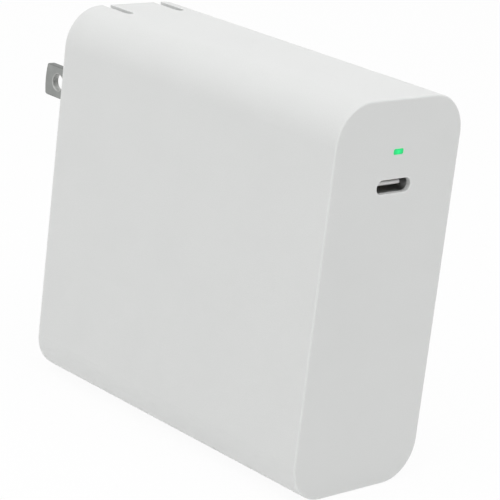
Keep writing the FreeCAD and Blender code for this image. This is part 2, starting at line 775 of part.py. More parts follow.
def leaf_spring(label, centre, nose, foot_end):
    """A bowed leaf on the retainer. Its foot goes under the retainer's lower edge."""
    spring = body(label)
    half = "Size.spring_width / 2"
    back = "At.plate_rear"
    face = "At.plate_rear + Size.spring_thickness"
    inside = f"{nose} - Size.spring_thickness"
    low_bend = "At.pivot_z - Size.spring_low_bend"
    high_bend = "At.pivot_z + Size.spring_high_bend"
    outer = "Size.spring_nose / 2"
    inner = "Size.spring_nose / 3"
    add(spring, "leaf", "YZ", f"{centre} - {half}", f"{centre} + {half}",
        polygon(
            (foot_end, "At.spring_low"),
            (face, "At.spring_low"),
            (face, low_bend),
            (nose, f"At.pivot_z - {outer}"),
            (nose, f"At.pivot_z + {outer}"),
            (face, high_bend),
            (back, high_bend),
            (inside, f"At.pivot_z + {inner}"),
            (inside, f"At.pivot_z - {inner}"),
            (back, low_bend),
            (back, "At.plate_low"),
            (foot_end, "At.plate_low"),
        ))
    return spring


# Plug: two blades moulded into a barrel that turns in the rear cover.

def plug_barrel():
    barrel = body("plug_barrel")
    add(barrel, "cylinder", "YZ", "-At.barrel_end", "At.barrel_end",
        circle("At.pivot_y", "At.pivot_z", "Size.barrel_radius"))
    add(barrel, "journals", "YZ", "-At.saddle_end", "At.saddle_end",
        circle("At.pivot_y", "At.pivot_z", "Size.journal_radius"))
    # The detent spring drops on one of two flats at each end of the travel.
    half = "Size.barrel_flat_width / 2"
    cut(barrel, "front_flat", "YZ", f"-{half}", half,
        box("At.barrel_front", "At.barrel_front + Size.barrel_flat_depth", "At.barrel_low", "At.barrel_high"))
    cut(barrel, "upper_flat", "YZ", f"-{half}", half,
        box("At.barrel_front", "At.rear", "At.barrel_high - Size.barrel_flat_depth", "At.barrel_high"))
    for label, sign in SIDES:
        low = f"{sign} * At.blade_x - At.blade_half"
        high = f"{sign} * At.blade_x + At.blade_half"
        cut(barrel, f"{label}_blade_seat", "YZ", low, high,
            box("At.pivot_y - Size.blade_root", "At.rear", "At.blade_low", "At.blade_high"))
        cut(barrel, f"{label}_tail_seat", "YZ", low, high,
            box("At.barrel_front", "At.pivot_y - Size.blade_root",
                "At.pivot_z - Size.tail_width / 2", "At.pivot_z + Size.tail_width / 2"))
    return barrel


def blade(label, centre):
    """A flat blade with a crowned tip, a round hole, and a narrow tail that meets its spring."""
    part = body(label)
    low = f"{centre} - At.blade_half"
    high = f"{centre} + At.blade_half"
    root = "At.pivot_y - Size.blade_root"
    tail_end = "At.pivot_y - At.tail_radius"
    tail_low = "At.pivot_z - Size.tail_width / 2"
    tail_high = "At.pivot_z + Size.tail_width / 2"
    add(part, "tongue", "YZ", low, high,
        crowned(root, "At.blade_tip", "At.blade_low", "At.blade_high", "Size.blade_tip_crown"))
    add(part, "tail", "YZ", low, high, box(tail_end, root, tail_low, tail_high))
    cut(part, "hole", "YZ", low, high,
        circle("At.rear + Size.blade_hole_reach", "At.blade_z", "Size.blade_hole_radius"))
    end = number(tail_end)
    bevel(part, "tail_lead_in", "Size.tail_bevel",
          lambda bounds: same(bounds.YMax, end) and same(bounds.ZMin, bounds.ZMax))
    shoulder = number("At.blade_tip - Size.blade_tip_crown")
    bevel(part, "tip_corners", "Size.blade_tip_bevel",
          lambda bounds: same(bounds.YMin, shoulder) and same(bounds.YMax, shoulder))
    tip = number("At.blade_tip")
    bevel(part, "tip_edges", "Size.blade_edge_bevel",
          lambda bounds: same(bounds.YMax, tip) and same(bounds.XMin, bounds.XMax))
    return part


# Outlet: a drawn metal sleeve, a tongue with its contacts and the moulded base behind them.

def outlet_sleeve():
    sleeve = body("usb_c_shell")
    add(sleeve, "sleeve", "XZ", "At.port_mouth", "At.port_board_front",
        port_oval("0"), port_oval("-Size.port_wall"))
    return sleeve


def outlet_tongue():
    tongue = body("usb_c_tongue")
    add(tongue, "base", "XZ", "At.port_base_front", "At.port_board_front", port_oval("-Size.port_wall"))
    add(tongue, "tongue", "XZ", "At.tongue_front", "At.port_base_front",
        box("-Size.tongue_width / 2", "Size.tongue_width / 2",
            "At.port_z - At.tongue_half", "At.port_z + At.tongue_half"))
    mouth = number("At.tongue_front")
    bevel(tongue, "lead_in", "Size.tongue_thickness / 4",
          lambda bounds: same(bounds.YMax, mouth) and same(bounds.ZMin, bounds.ZMax))
    return tongue


def outlet_contacts():
    """A row of contacts on each side of the tongue."""
    contacts = body("usb_c_contacts")
    half = "Size.contact_width / 2"
    start = "At.port_base_front - Size.contact_length"
    count = int(SIZES["contacts_in_row"])
    centres = [f"({place} - (Size.contacts_in_row - 1) / 2) * Size.contact_pitch" for place in range(count)]
    row = [box(f"{centre} - {half}", f"{centre} + {half}", start, "At.port_base_front") for centre in centres]
    add(contacts, "upper_row", "XY", "At.port_z + At.tongue_half",
        "At.port_z + At.contact_face", *row)
    add(contacts, "lower_row", "XY", "At.port_z - At.contact_face",
        "At.port_z - At.tongue_half", *row)
    return contacts


def light_pipe():
    pipe = body("led_light_pipe")
    add(pipe, "window", "XZ", "At.front", "At.inner_front", light_outline("0"))
    for name, near, far, margin in (
            ("flange", "At.inner_front", "At.flange_rear", "Size.light_flange_margin"),
            ("stem", "At.flange_rear", "At.light_front", "0")):
        half_width = f"(Size.light_width / 2 + {margin})"
        half_height = f"(Size.light_tall / 2 + {margin})"
        add(pipe, name, "XZ", near, far,
            box(f"-{half_width}", half_width, f"At.light_z - {half_height}", f"At.light_z + {half_height}"))
    return pipe


# Boards.

def main_board():
    board = body("main_board")
    add(board, "outline", "YZ", "At.board_back", "At.board_face",
        polygon(
            ("At.board_front", "At.board_low"),
            ("At.board_rear", "At.board_low"),
            ("At.board_rear", "At.board_notch_low"),
            ("At.board_notch", "At.board_notch_low"),
            ("At.board_notch", "At.board_high"),
            ("At.board_front", "At.board_high"),
        ))
    return board


def port_board():
    board = body("port_board")
    add(board, "outline", "XZ", "At.port_board_front", "At.port_board_rear",
        box("At.board_face", "At.parts_top - Size.port_board_margin",
            "At.port_board_low", "At.port_board_high"))
    return board


def port_parts():
    block("status_led", "-Size.light_chip_width / 2", "Size.light_chip_width / 2",
          "At.light_front", "At.port_board_front",
          "At.light_z - Size.light_chip_tall / 2", "At.light_z + Size.light_chip_tall / 2")
    low = "At.port_z - Size.small_chip_side / 2"
    high = "At.port_z + Size.small_chip_side / 2"
    half_gap = "Size.part_gap / 2"
    block("port_controller", half_gap, f"{half_gap} + Size.small_chip_side",
          "At.port_board_rear", "At.port_chip_rear", low, high)
    block("port_switch", f"-{half_gap} - Size.small_chip_side", f"-{half_gap}",
          "At.port_board_rear", "At.port_chip_rear", low, high)
    block("board_link", "At.board_face", "At.board_face + Size.link_side",
          "At.port_board_rear", "At.port_board_rear + Size.link_side",
          "At.port_z - Size.link_length / 2", "At.port_z + Size.link_length / 2")


# Layers that spread heat and keep the circuit apart from the walls.

def side_layers():
    whole = ("At.board_front", "At.board_rear", "At.layer_low", "At.layer_high")
    padded = ("At.board_front", "At.board_notch - Size.part_gap", "At.layer_low", "At.layer_high")
    block("left_heat_spreader", "-At.inner_side", "At.left_spreader", *whole)
    block("left_insulating_sheet", "At.left_spreader", "At.left_sheet", *whole)
    block("left_thermal_pad", "At.left_sheet", "At.left_pad", *padded)
    block("right_heat_spreader", "At.right_spreader", "At.inner_side", *whole)
    block("right_insulating_sheet", "At.right_sheet", "At.right_spreader", *whole)
    block("right_thermal_pad", "At.parts_top", "At.right_sheet", *padded)


# Wound parts.

def wound_part(label, kind, tall):
    """An E-shaped pair of ferrite halves on the main board, with a bobbin and a winding on its post."""
    along, up = f"At.{kind}_y", f"At.{kind}_z"
    reach, rise = f"Size.{kind}_width / 2", f"Size.{kind}_depth / 2"
    yoke, leg = f"Size.{kind}_yoke", f"Size.{kind}_leg"
    post, deep = f"Size.{kind}_post", f"Size.{kind}_core / 2"
    floor, top = "At.board_face", f"At.board_face + {tall}"
    window_low, window_high = f"{floor} + {yoke}", f"{top} - {yoke}"
    wall = "Size.bobbin_wall"

    def about(half_width, half_height):
        return box(f"{along} - ({half_width})", f"{along} + ({half_width})",
                   f"{up} - ({half_height})", f"{up} + ({half_height})")

    core = body(f"{label}_core")
    add(core, "block", "YZ", floor, top, about(reach, deep))
    cut(core, "near_window", "YZ", window_low, window_high,
        box(f"{along} - {reach} + {leg}", f"{along} - {post}", f"{up} - {deep}", f"{up} + {deep}"))
    cut(core, "far_window", "YZ", window_low, window_high,
        box(f"{along} + {post}", f"{along} + {reach} - {leg}", f"{up} - {deep}", f"{up} + {deep}"))

    bobbin = body(f"{label}_bobbin")
    inside = about(post, deep)
    tube = about(f"{post} + {wall}", f"{deep} + {wall}")
    flange_reach = f"({reach} - {leg} - Size.bobbin_gap)"
    flange = about(flange_reach, rise)
    add(bobbin, "tube", "YZ", window_low, window_high, tube, inside)
    add(bobbin, "lower_flange", "YZ", window_low, f"{window_low} + {wall}", flange, inside)
    add(bobbin, "upper_flange", "YZ", f"{window_high} - {wall}", window_high, flange, inside)

    winding = body(f"{label}_winding")
    inset = "Size.winding_inset"
    add(winding, "turns", "YZ", f"{window_low} + {wall}", f"{window_high} - {wall}", tube,
        rounded(f"{along} - {flange_reach} + {inset}", f"{along} + {flange_reach} - {inset}",
                f"{up} - {rise} + {inset}", f"{up} + {rise} - {inset}", "Size.winding_round"))


def line_choke():
    """A ferrite ring lying on a plastic seat, with a winding on each side of it."""
    reach = "Size.ring_outer"
    block("line_choke_seat", "At.board_face", "At.board_face + Size.ring_seat",
          f"At.ring_y - {reach}", f"At.ring_y + {reach}", f"At.ring_z - {reach}", f"At.ring_z + {reach}")
    seat = "At.board_face + Size.ring_seat"
    wire = "Size.ring_wire"
    gap = "Size.ring_wire_gap"
    lying = FreeCAD.Rotation(FreeCAD.Vector(0, 1, 0), 90)

    ring = body("line_choke_core")
    add(ring, "ring", "XY", wire, f"{wire} + Size.ring_tall",
        circle("0", "0", "Size.ring_outer"), circle("0", "0", "Size.ring_inner"))
    put(ring, seat, "At.ring_y", "At.ring_z").Placement.Rotation = lying
    for label, start in (("line", 0), ("neutral", 180)):
        winding = body(f"{label}_choke_winding")
        turns = turn(winding, "turns", "XZ", "0", "V_Axis",
                     box(f"Size.ring_inner - {wire}", f"Size.ring_outer + {wire}", "0",
                         f"Size.ring_tall + 2 * {wire}"),
                     box(f"Size.ring_inner - {gap}", f"Size.ring_outer + {gap}",
                         wire, f"Size.ring_tall + {wire}"))
        turns.setExpression("Angle", "Size.ring_angle")
        turns.Midplane = True
        put(winding, seat, "At.ring_y", "At.ring_z")
        winding.Placement.Rotation = lying * FreeCAD.Rotation(FreeCAD.Vector(0, 0, 1), start)


# Capacitors and small parts.

def drum(label, radius, length):
    """A plain round piece, standing on its own origin."""
    made = doc.addObject("Part::Cylinder", label)
    made.Label = label
    made.setExpression("Radius", radius)
    made.setExpression("Height", length)
    ASSEMBLY.append(made)
    return made


def bulk_capacitor(label, up):
    """A rolled can lying along the board, with a groove near its sealed end."""
    part = body(label)
    radius = "At.bulk_radius"
    groove = "Size.can_groove"
    turn(part, "can", "XZ", "0", "V_Axis",
         polygon(
             ("0", "0"),
             (radius, "0"),
             (radius, "Size.can_rim"),
             (f"{radius} - {groove}", f"Size.can_rim + {groove}"),
             (radius, f"Size.can_rim + 2 * {groove}"),
             (radius, "At.bulk_length"),
             ("0", "At.bulk_length"),
         ))
    return put(part, f"At.board_face + {radius}", "At.bulk_near", up, (1, 0, 0), -90)


def capacitors():
    bulk_capacitor("lower_bulk_capacitor", "At.bulk_low")
    bulk_capacitor("upper_bulk_capacitor", "At.bulk_high")
    for place, label in enumerate(("first", "second", "third")):
        put(drum(f"{label}_output_capacitor", "Size.can_radius", "Size.can_length"),
            "At.board_face", f"At.can_y + {place} * At.can_pitch", "At.can_z", (0, 1, 0), 90)
    put(drum("supply_capacitor", "Size.supply_can_radius", "Size.supply_can_length"),
        "At.board_face", "At.strip_y", "At.supply_z", (0, 1, 0), 90)
    block("mains_filter_capacitor", "At.board_face", "At.board_face + Size.filter_tall",
          "At.bulk_near", "At.filter_far", "At.filter_low", "At.filter_high")


def disc(label, kind, near, up):
    """A coated disc standing on its edge, its face square to the board's length."""
    part = drum(label, f"Size.{kind}_radius", f"Size.{kind}_thickness")
    return put(part, f"At.board_face + Size.{kind}_radius", near, up, (1, 0, 0), -90)


def small_parts():
    disc("surge_absorber", "surge", "At.disc_near", "At.surge_z")
    disc("inrush_limiter", "limiter", "At.disc_near", "At.limiter_z")
    block("safety_capacitor", "At.board_face", "At.board_face + Size.safety_tall",
          "At.strip_near", "At.strip_far", "At.safety_low", "At.safety_low + Size.safety_length")
    block("isolating_coupler", "At.board_face", "At.board_face + Size.coupler_tall",
          "At.strip_near", "At.strip_far", "At.coupler_low", "At.coupler_low + Size.coupler_length")
    block("bridge_rectifier", "At.board_face", "At.board_face + Size.rectifier_tall",
          "At.strip_near", "At.strip_near + Size.rectifier_side",
          "At.rectifier_low", "At.rectifier_low + Size.rectifier_side")
    block("mains_fuse", "At.board_face", "At.board_face + Size.fuse_tall",
          "At.bulk_near", "At.bulk_near + Size.fuse_length",
          "At.fuse_low", "At.fuse_low + Size.fuse_width")

    # Flat chips on the back of the main board give their heat to the left wall.
    chips = (
        ("boost_transistor", "At.inductor_y", "At.inductor_z", "Size.power_chip_side"),
        ("bridge_transistor", "At.transformer_y", "At.transformer_z", "Size.power_chip_side"),
        ("rectifier_transistor", "At.can_y", "At.can_z", "Size.small_chip_side"),
        ("primary_controller", "At.strip_y", "At.supply_z", "Size.small_chip_side"),
    )
    for label, along, up, side in chips:
        block(label, "At.left_pad", "At.board_back", f"{along} - {side} / 2", f"{along} + {side} / 2",
              f"{up} - {side} / 2", f"{up} + {side} / 2")


def feed_wire(label, centre, up):
    """An insulated wire from a contact spring's foot, down and round to the main board."""
    part = body(label)
    path = sketch_on(part, f"{label}_path", "XZ", "At.wire_y", [])
    bend = number("At.wire_bend")
    corner = vector(centre, up)
    drop_end = corner + FreeCAD.Vector(0, bend, 0)
    run_start = corner - FreeCAD.Vector(bend, 0, 0)
    ring = Part.Circle(corner + FreeCAD.Vector(-bend, bend, 0), FreeCAD.Vector(0, 0, 1), bend)
    drop = path.addGeometry(Part.LineSegment(vector(centre, "At.spring_low"), drop_end), False)
    elbow = path.addGeometry(Part.ArcOfCircle(ring, -math.pi / 2, 0), False)
    run = path.addGeometry(Part.LineSegment(run_start, vector("At.board_face", up)), False)
    join(path, "Tangent", end_of(drop), end_of(elbow))
    join(path, "Tangent", start_of(elbow), start_of(run))
    path.addConstraint(Sketcher.Constraint("Vertical", drop))
    path.addConstraint(Sketcher.Constraint("Horizontal", run))
    hold_point(path, start_of(drop), centre, "At.spring_low")
    hold_point(path, end_of(run), "At.board_face", up)
    hold(path, "Radius", elbow, formula="At.wire_bend")

    # The section is six-sided, which keeps a thin bent piece light.
    corner_out = "Size.wire_radius"
    corner_half = "Size.wire_radius / 2"
    flat = "Size.wire_radius * sqrt(3) / 2"
    section = sketch_on(part, f"{label}_section", "XY", "At.spring_low", [polygon(
        (f"{centre} + {corner_out}", "At.wire_y"),
        (f"{centre} + {corner_half}", f"At.wire_y + {flat}"),
        (f"{centre} - {corner_half}", f"At.wire_y + {flat}"),
        (f"{centre} - {corner_out}", "At.wire_y"),
        (f"{centre} - {corner_half}", f"At.wire_y - {flat}"),
        (f"{centre} + {corner_half}", f"At.wire_y - {flat}"),
    )])
    pipe = part.newObject("PartDesign::AdditivePipe", f"{label}_pipe")
    pipe.Profile = section
    pipe.Spine = (path, ["Edge1", "Edge2", "Edge3"])
    part.Tip = pipe
    return part


def build():
    housing_shell()
    rear_cover()
    plug_retainer()
    retainer_screws()
    contact_foot = "At.plate_front - Size.spring_leg"
    leaf_spring("line_contact_spring", "-At.blade_x", "At.contact_nose", contact_foot)
    leaf_spring("neutral_contact_spring", "At.blade_x", "At.contact_nose", contact_foot)
    leaf_spring("detent_spring", "0", "At.detent_nose", "At.plate_front")
    plug_barrel()
    blade("left_blade", "-At.blade_x")
    blade("right_blade", "At.blade_x")
    outlet_sleeve()
    outlet_tongue()
    outlet_contacts()
    light_pipe()
    main_board()
    port_board()
    port_parts()
    side_layers()
    wound_part("transformer", "transformer", "(At.parts_top - At.board_face)")
    wound_part("boost_inductor", "inductor", "Size.inductor_tall")
    line_choke()
    capacitors()
    small_parts()
    feed_wire("line_wire", "-At.blade_x", "At.line_wire_z")
    feed_wire("neutral_wire", "At.blade_x", "At.neutral_wire_z")


def check_and_write():
    """Stops at a feature that failed or a piece without a sound solid, and writes one file for each piece."""
    doc.recompute()
    for item in doc.Objects:
        if "Invalid" in item.State or "Error" in item.State:
            raise RuntimeError(f"{item.Label} failed: {item.State}")
    for piece in ASSEMBLY:
        shape = piece.Shape
        if shape.isNull() or not shape.isValid() or not shape.Solids:
            raise RuntimeError(f"{piece.Label} has no sound solid")
    os.makedirs("parts", exist_ok=True)
    for piece in ASSEMBLY:
        piece.Shape.exportStep(f"parts/{piece.Label}.step")
        print(f"{piece.Label}: {len(piece.Shape.Solids)} solid(s), {piece.Shape.Volume:.1f} mm3")


build()
check_and_write()
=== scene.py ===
# A white wall-plug power adapter with folding blades, in a plain white studio.
# Lengths are in metres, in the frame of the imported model: +Y towards the blades, +Z up.

import math

import bpy
from mathutils import Matrix, Vector


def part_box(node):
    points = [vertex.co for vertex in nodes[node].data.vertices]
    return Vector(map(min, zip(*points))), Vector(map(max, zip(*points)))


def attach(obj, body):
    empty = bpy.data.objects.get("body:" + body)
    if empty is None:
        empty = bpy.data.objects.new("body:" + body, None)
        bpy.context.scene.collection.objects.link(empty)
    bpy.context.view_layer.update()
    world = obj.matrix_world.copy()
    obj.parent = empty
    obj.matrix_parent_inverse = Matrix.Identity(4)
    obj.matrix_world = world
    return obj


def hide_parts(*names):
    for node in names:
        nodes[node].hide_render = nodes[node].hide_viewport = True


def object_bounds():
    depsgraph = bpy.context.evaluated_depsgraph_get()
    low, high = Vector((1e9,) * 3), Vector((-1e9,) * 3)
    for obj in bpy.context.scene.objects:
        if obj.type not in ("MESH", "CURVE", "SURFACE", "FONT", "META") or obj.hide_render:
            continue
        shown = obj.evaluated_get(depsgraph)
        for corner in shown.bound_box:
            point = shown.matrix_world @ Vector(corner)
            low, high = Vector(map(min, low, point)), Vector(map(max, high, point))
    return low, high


MM = 0.001

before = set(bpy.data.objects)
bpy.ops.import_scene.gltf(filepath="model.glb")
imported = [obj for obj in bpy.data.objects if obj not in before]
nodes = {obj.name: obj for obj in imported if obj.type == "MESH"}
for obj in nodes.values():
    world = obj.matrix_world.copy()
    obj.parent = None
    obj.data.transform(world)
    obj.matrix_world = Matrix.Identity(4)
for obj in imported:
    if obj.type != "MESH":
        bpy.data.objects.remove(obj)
cad_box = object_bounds()
scene = bpy.context.scene


# Camera, from the photograph's viewing angle.

CAMERA_TARGET = Vector((4.58, 1.2, 33.78)) * MM
CAMERA_DISTANCE = 439.3 * MM
CAMERA_AZIMUTH = math.radians(-44.14)
CAMERA_ELEVATION = math.radians(17.02)
CAMERA_ROLL = math.radians(6.83)
CAMERA_LENS = 166.18
CAMERA_NEAR = 0.01


def add_camera():
    data = bpy.data.cameras.new("photo_camera")
    data.lens = CAMERA_LENS
    data.clip_start = CAMERA_NEAR
    camera = bpy.data.objects.new("photo_camera", data)
    scene.collection.objects.link(camera)
    forward = Vector((
        -math.sin(CAMERA_AZIMUTH) * math.cos(CAMERA_ELEVATION),
        math.cos(CAMERA_AZIMUTH) * math.cos(CAMERA_ELEVATION),
        -math.sin(CAMERA_ELEVATION),
    ))
    level = forward.to_track_quat("-Z", "Y").to_matrix()
    turned = Matrix.Rotation(-CAMERA_ROLL, 3, forward) @ level
    place = CAMERA_TARGET - forward * CAMERA_DISTANCE
    camera.matrix_world = Matrix.Translation(place) @ turned.to_4x4()
    scene.camera = camera


# Colours.

def linear(red, green, blue):
    """An 8-bit display colour as the linear colour that a shader takes."""
    def channel(value):
        value = value / 255
        return value / 12.92 if value <= 0.04045 else ((value + 0.055) / 1.055) ** 2.4
    return channel(red), channel(green), channel(blue), 1.0


def scaled(colour, factor):
    return tuple(channel * factor for channel in colour[:3]) + (1.0,)


def between(colour, spread):
    """Two ramp stops, one a little darker and one a little lighter than a colour."""
    return (0.3, scaled(colour, 1 - spread)), (0.7, scaled(colour, 1 + spread))


HOUSING = linear(224, 225, 224)
PLUG_PLASTIC = linear(220, 221, 220)
BLADE = linear(150, 152, 150)
# Painted shade: the blade edges are darker so they show as dark outlines; their rougher finish is
# real.
BLADE_EDGE_PAINTED_SHADE = linear(136, 138, 136)
# Painted reflection: the blade's hole wall is lighter, standing for the white surround it mirrors.
BLADE_HOLE_PAINTED_REFLECTION = linear(186, 187, 185)
PORT_STEEL = linear(186, 187, 187)
TONGUE = linear(240, 240, 240)
# Painted shade: the tongue's base deep in the outlet is darkened to stand for the shade there.
PORT_BASE_PAINTED_SHADE = linear(30, 30, 31)
LIGHT_MIDDLE = linear(48, 240, 140)
LIGHT_RIM = linear(36, 176, 100)
GOLD = linear(206, 188, 146)


# Node helpers.

class Nodes:
    """A material's node tree, with short calls for the nodes used here."""

    def __init__(self, name):
        self.material = bpy.data.materials.new(name)
        self.material.use_nodes = True
        self.tree = self.material.node_tree
        self.shader = self.tree.nodes["Principled BSDF"]
        self.output = self.tree.nodes["Material Output"]

    def add(self, kind, **settings):
        node = self.tree.nodes.new(kind)
        for key, value in settings.items():
            setattr(node, key, value)
        return node

    def link(self, source, target):
        self.tree.links.new(source, target)

    def place(self, stretch=(1, 1, 1)):
        """Object coordinates in millimetres, stretched along the axes."""
        coordinates = self.add("ShaderNodeTexCoord")
        mapping = self.add("ShaderNodeMapping")
        mapping.inputs["Scale"].default_value = [1 / (MM * s) for s in stretch]
        self.link(coordinates.outputs["Object"], mapping.inputs["Vector"])
        return mapping.outputs["Vector"]

    def noise(self, size, stretch=(1, 1, 1), detail=3.0, rough=0.55):
        """Noise whose grains are about size millimetres across."""
        node = self.add("ShaderNodeTexNoise")
        node.inputs["Scale"].default_value = 1 / size
        node.inputs["Detail"].default_value = detail
        node.inputs["Roughness"].default_value = rough
        self.link(self.place(stretch), node.inputs["Vector"])
        return node.outputs["Fac"]

    def ramp(self, value, *stops):
        """A colour ramp through (position, colour) stops."""
        node = self.add("ShaderNodeValToRGB")
        elements = node.color_ramp.elements
        while len(elements) < len(stops):
            elements.new(0.5)
        for element, (position, colour) in zip(elements, stops):
            element.position = position
            element.color = colour
        self.link(value, node.inputs["Fac"])
        return node.outputs["Color"]

    def span(self, value, low, high):
        """A 0 to 1 value mapped between low and high."""
        node = self.add("ShaderNodeMapRange")
        node.inputs["To Min"].default_value = low
        node.inputs["To Max"].default_value = high
        self.link(value, node.inputs["Value"])
        return node.outputs["Result"]

    def bump(self, height, depth, normal=None):
        """Relief whose full height is depth millimetres."""
        node = self.add("ShaderNodeBump")
        node.inputs["Distance"].default_value = depth * MM
        self.link(height, node.inputs["Height"])
        if normal is not None:
            self.link(normal, node.inputs["Normal"])
        return node.outputs["Normal"]

    def mixed(self, share, one, other):
        """One colour where share is 0, the other where it is 1."""
        node = self.add("ShaderNodeMix", data_type="RGBA")
        self.link(share, node.inputs["Factor"])
        for name, colour in (("A", one), ("B", other)):
            socket = next(item for item in node.inputs if item.name == name and item.type == "RGBA")
            if isinstance(colour, tuple):
                socket.default_value = colour
            else:
                self.link(colour, socket)
        return next(item for item in node.outputs if item.type == "RGBA")

    def surface(self, colour, normal, value, roughness, reach):
        """Colour, relief, and a roughness that a value moves by reach: (below, above)."""
        below, above = reach
        self.link(colour, self.shader.inputs["Base Color"])
        self.link(normal, self.shader.inputs["Normal"])
        self.link(self.span(value, roughness - below, roughness + above),
                  self.shader.inputs["Roughness"])


# Materials. Sizes of grain, depths of relief and reach of scattering are in millimetres.

DRIFT_SIZE = 14.0
SWELL_SIZE = 2.4
SWELL_SHARE = 0.4
PLASTIC_SPREAD = 0.012
PLASTIC_SHEEN = (0.1, 0.12)
PLASTIC_SHINE = 0.3
PLASTIC_IOR = 1.5
LINE_WIDTH = 0.09
LINE_STRETCH = 18.0
WEAR_SIZE = 2.2
METAL_SHEEN = (0.06, 0.12)
INNER_SPREAD = 0.08
INNER_SHEEN = (0.08, 0.08)
CLOUD_SIZE = 0.5
CLOUD_SHARE = 0.3
WINDOW_TINT = 0.1
WINDOW_SHINE = 0.15
WINDOW_ROUGHNESS = (0.3, 0.4)
# Where the window starts to dim, as a share of the way from its middle to its rim.
DIM_START = 0.15


def moulded_plastic(name, colour, grain=0.22, depth=0.03, roughness=0.5, scatter=0.4):
    """Spark-eroded mould texture: fine pits, a slightly uneven sheen and a faint drift in tone."""
    made = Nodes(name)
    drift = made.noise(DRIFT_SIZE, detail=2.0)
    pits = made.noise(grain, detail=4.0, rough=0.6)
    tone = made.ramp(drift, *between(colour, PLASTIC_SPREAD))
    speckle = made.ramp(pits, *between(colour, PLASTIC_SPREAD * 3))
    swell = made.bump(made.noise(SWELL_SIZE, detail=1.0), depth * SWELL_SHARE)
    made.surface(made.mixed(drift, tone, speckle), made.bump(pits, depth, swell),
                 pits, roughness, PLASTIC_SHEEN)
    made.shader.inputs["IOR"].default_value = PLASTIC_IOR
    made.shader.inputs["Specular IOR Level"].default_value = PLASTIC_SHINE
    made.shader.inputs["Subsurface Weight"].default_value = 1.0
    made.shader.inputs["Subsurface Radius"].default_value = (1, 1, 1)
    made.shader.inputs["Subsurface Scale"].default_value = scatter * MM
    return made


def tongue_plastic():
    """A light tongue whose base, behind the contacts, is painted near-black as the shade deep in
    the outlet.
    """
    made = moulded_plastic("port_plastic", TONGUE, grain=0.05, depth=0.003)
    position = made.add("ShaderNodeTexCoord")
    split = made.add("ShaderNodeSeparateXYZ")
    made.link(position.outputs["Object"], split.inputs["Vector"])
    # The base, painted dark as the outlet's shade, starts where the contacts end.
    behind = made.add("ShaderNodeMath", operation="GREATER_THAN")
    behind.inputs[1].default_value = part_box("usb_c_contacts")[1].y
    made.link(split.outputs["Y"], behind.inputs[0])
    base_color = made.shader.inputs["Base Color"]
    light = base_color.links[0].from_socket
    made.link(made.mixed(behind.outputs["Value"], light, PORT_BASE_PAINTED_SHADE), base_color)
    return made


def drawn_metal(name, colour, along, roughness=0.3, spread=0.05, depth=0.004):
    """Fine lines along the direction of drawing, with worn spots."""
    made = Nodes(name)
    stretch = tuple(LINE_STRETCH if axis == along else 1.0 for axis in "XYZ")
    lines = made.noise(LINE_WIDTH, stretch, detail=5.0, rough=0.6)
    patches = made.noise(WEAR_SIZE)
    tone = made.ramp(lines, *between(colour, spread))
    worn = made.ramp(patches, *between(colour, spread * 1.5))
    made.surface(made.mixed(patches, tone, worn), made.bump(lines, depth),
                 lines, roughness, METAL_SHEEN)
    made.shader.inputs["Metallic"].default_value = 1.0
    return made


def plain_part(name, colour, metallic=0.0, roughness=0.5, grain=0.4, depth=0.01):
    """The finish of a part inside the housing: an even colour with a fine grain."""
    made = Nodes(name)
    speckle = made.noise(grain, detail=4.0)
    made.surface(made.ramp(speckle, *between(colour, INNER_SPREAD)), made.bump(speckle, depth),
                 speckle, roughness, INNER_SHEEN)
    made.shader.inputs["Metallic"].default_value = metallic
    return made


def lit_window():
    """A clear window lit from behind: brightest in its middle, dimmer at its rim."""
    made = Nodes("light_window")
    low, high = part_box("led_light_pipe")
    middle = (low + high) / 2
    half = (high - low) / 2
    position = made.add("ShaderNodeTexCoord")
    centred = made.add("ShaderNodeMapping")
    centred.inputs["Scale"].default_value = (1 / half.x, 0, 1 / half.z)
    centred.inputs["Location"].default_value = (-middle.x / half.x, 0, -middle.z / half.z)
    made.link(position.outputs["Object"], centred.inputs["Vector"])
    reach = made.add("ShaderNodeVectorMath", operation="LENGTH")
    made.link(centred.outputs["Vector"], reach.inputs[0])
    cloud = made.noise(CLOUD_SIZE, detail=2.0)
    uneven = made.add("ShaderNodeMath", operation="MULTIPLY_ADD")
    uneven.inputs[1].default_value = CLOUD_SHARE
    made.link(cloud, uneven.inputs[0])
    made.link(reach.outputs["Value"], uneven.inputs[2])
    glow = made.ramp(uneven.outputs["Value"], (DIM_START, LIGHT_MIDDLE), (1.0, LIGHT_RIM))
    made.shader.inputs["Base Color"].default_value = scaled(LIGHT_MIDDLE, WINDOW_TINT)
    made.shader.inputs["Specular IOR Level"].default_value = WINDOW_SHINE
    made.link(made.span(cloud, *WINDOW_ROUGHNESS), made.shader.inputs["Roughness"])
    made.link(glow, made.shader.inputs["Emission Color"])
    made.shader.inputs["Emission Strength"].default_value = 1.0
    return made


def dress(made, *names):
    """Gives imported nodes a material."""
    for name in names:
        slots = nodes[name].material_slots
        if not slots:
            nodes[name].data.materials.append(made.material)
        for item in slots:
            item.material = made.material


def dress_outside():
    """The moulded parts, the outlet and its light."""
    dress(moulded_plastic("housing_plastic", HOUSING), "housing_shell")
    dress(moulded_plastic("cover_plastic", HOUSING, scatter=1.2), "rear_cover")
    dress(moulded_plastic("plug_plastic", PLUG_PLASTIC, grain=0.1, depth=0.006,
                          roughness=0.42, scatter=0.6), "plug_barrel")
    dress(drawn_metal("port_steel", PORT_STEEL, "Y", roughness=0.35), "usb_c_shell")
    dress(tongue_plastic(), "usb_c_tongue")
    dress(drawn_metal("contact_gold", GOLD, "Y", roughness=0.25), "usb_c_contacts")
    dress(lit_window(), "led_light_pipe", "status_led")


